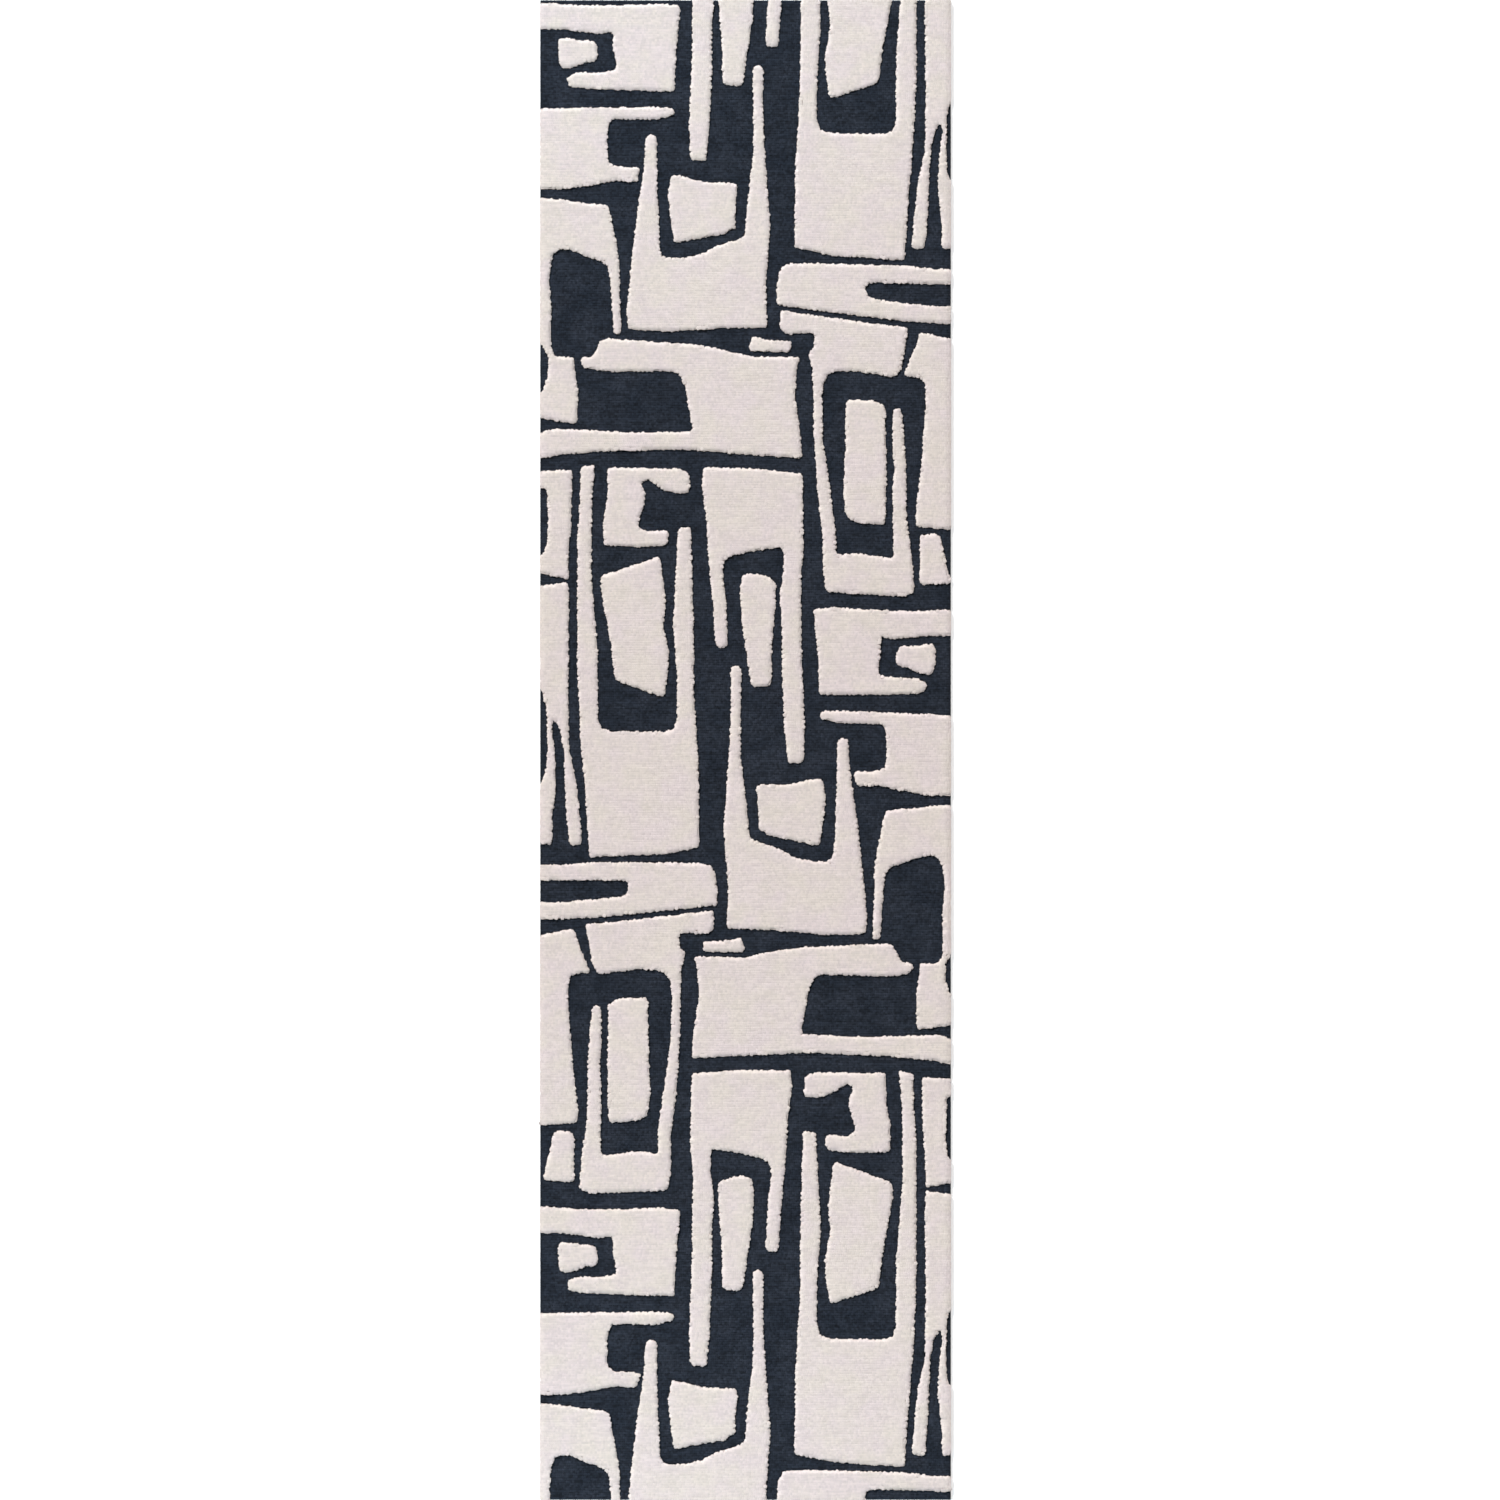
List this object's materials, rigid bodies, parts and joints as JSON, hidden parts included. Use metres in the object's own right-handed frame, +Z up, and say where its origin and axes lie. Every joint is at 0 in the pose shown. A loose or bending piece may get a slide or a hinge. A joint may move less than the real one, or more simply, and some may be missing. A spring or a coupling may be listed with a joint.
{
  "type": "runner rug",
  "caption": "Long narrow floor rug with raised ivory pile fields in an abstract block design on a low charcoal pile, jute ground, overcast sides and taped ends.",
  "frame": {"origin": "middle of the underside, on the floor", "axes": "+Z up out of the pile, +Y along the length to the head end, +X across to the right-hand side"},
  "size_m": [0.66, 2.41, 0.012],
  "materials": {
    "ivory_pile": "matte cut pile, warm ivory, slightly mottled",
    "charcoal_pile": "matte low ribbed pile, blue charcoal",
    "jute_ground": "coarse plain weave, sized on the back",
    "edge_yarn": "overcast twisted yarn",
    "end_tape": "herringbone cotton tape",
    "label_cloth": "plain woven satin, blank"
  },
  "bodies": {
    "root": {"ivory_tower_1": "ivory_pile", "ivory_tower_2": "ivory_pile", "ivory_tower_3": "ivory_pile", "ivory_hook_2": "ivory_pile", "ivory_hook_3": "ivory_pile", "ivory_arch_1a": "ivory_pile", "ivory_arch_1b": "ivory_pile", "ivory_arch_2": "ivory_pile", "ivory_arch_3": "ivory_pile", "ivory_edge_bracket_2": "ivory_pile", "ivory_edge_bracket_3": "ivory_pile", "ivory_small_brick_2": "ivory_pile", "ivory_small_brick_3": "ivory_pile", "ivory_tower_window_1": "ivory_pile", "ivory_tower_window_2": "ivory_pile", "ivory_tower_window_3": "ivory_pile", "ivory_arch_window_1": "ivory_pile", "ivory_arch_window_2": "ivory_pile", "ivory_arch_window_3": "ivory_pile", "ivory_edge_spikes_1": "ivory_pile", "ivory_edge_spikes_2": "ivory_pile", "ivory_edge_spikes_3": "ivory_pile", "ivory_windowed_brick_1": "ivory_pile", "ivory_windowed_brick_2": "ivory_pile", "ivory_windowed_brick_3": "ivory_pile", "ivory_brick_window_1": "ivory_pile", "ivory_brick_window_2": "ivory_pile", "ivory_brick_window_3": "ivory_pile", "ivory_fork_1": "ivory_pile", "ivory_fork_2": "ivory_pile", "ivory_fork_3": "ivory_pile", "ivory_shelf_1": "ivory_pile", "ivory_shelf_2": "ivory_pile", "ivory_shelf_3": "ivory_pile", "ivory_fork_window_1": "ivory_pile", "ivory_fork_window_2": "ivory_pile", "ivory_fork_window_3": "ivory_pile", "ivory_edge_frame_1": "ivory_pile", "ivory_edge_frame_2": "ivory_pile", "ivory_edge_frame_3": "ivory_pile", "ivory_slotted_bar_1": "ivory_pile", "ivory_slotted_bar_2": "ivory_pile", "ivory_slotted_bar_3": "ivory_pile", "ivory_gate_1": "ivory_pile", "ivory_gate_2": "ivory_pile", "ivory_edge_pillar_1": "ivory_pile", "ivory_edge_pillar_2": "ivory_pile", "ivory_dash_1": "ivory_pile", "ivory_dash_2": "ivory_pile", "ivory_bench_1": "ivory_pile", "ivory_bench_2": "ivory_pile", "ivory_gate_window_1": "ivory_pile", "ivory_gate_window_2": "ivory_pile", "charcoal_pile": "charcoal_pile", "ground_weave": "jute_ground", "left_serged_edge": "edge_yarn", "right_serged_edge": "edge_yarn", "head_end_tape": "end_tape", "foot_end_tape": "end_tape", "care_label": "label_cloth"}
  },
  "joints": []
}
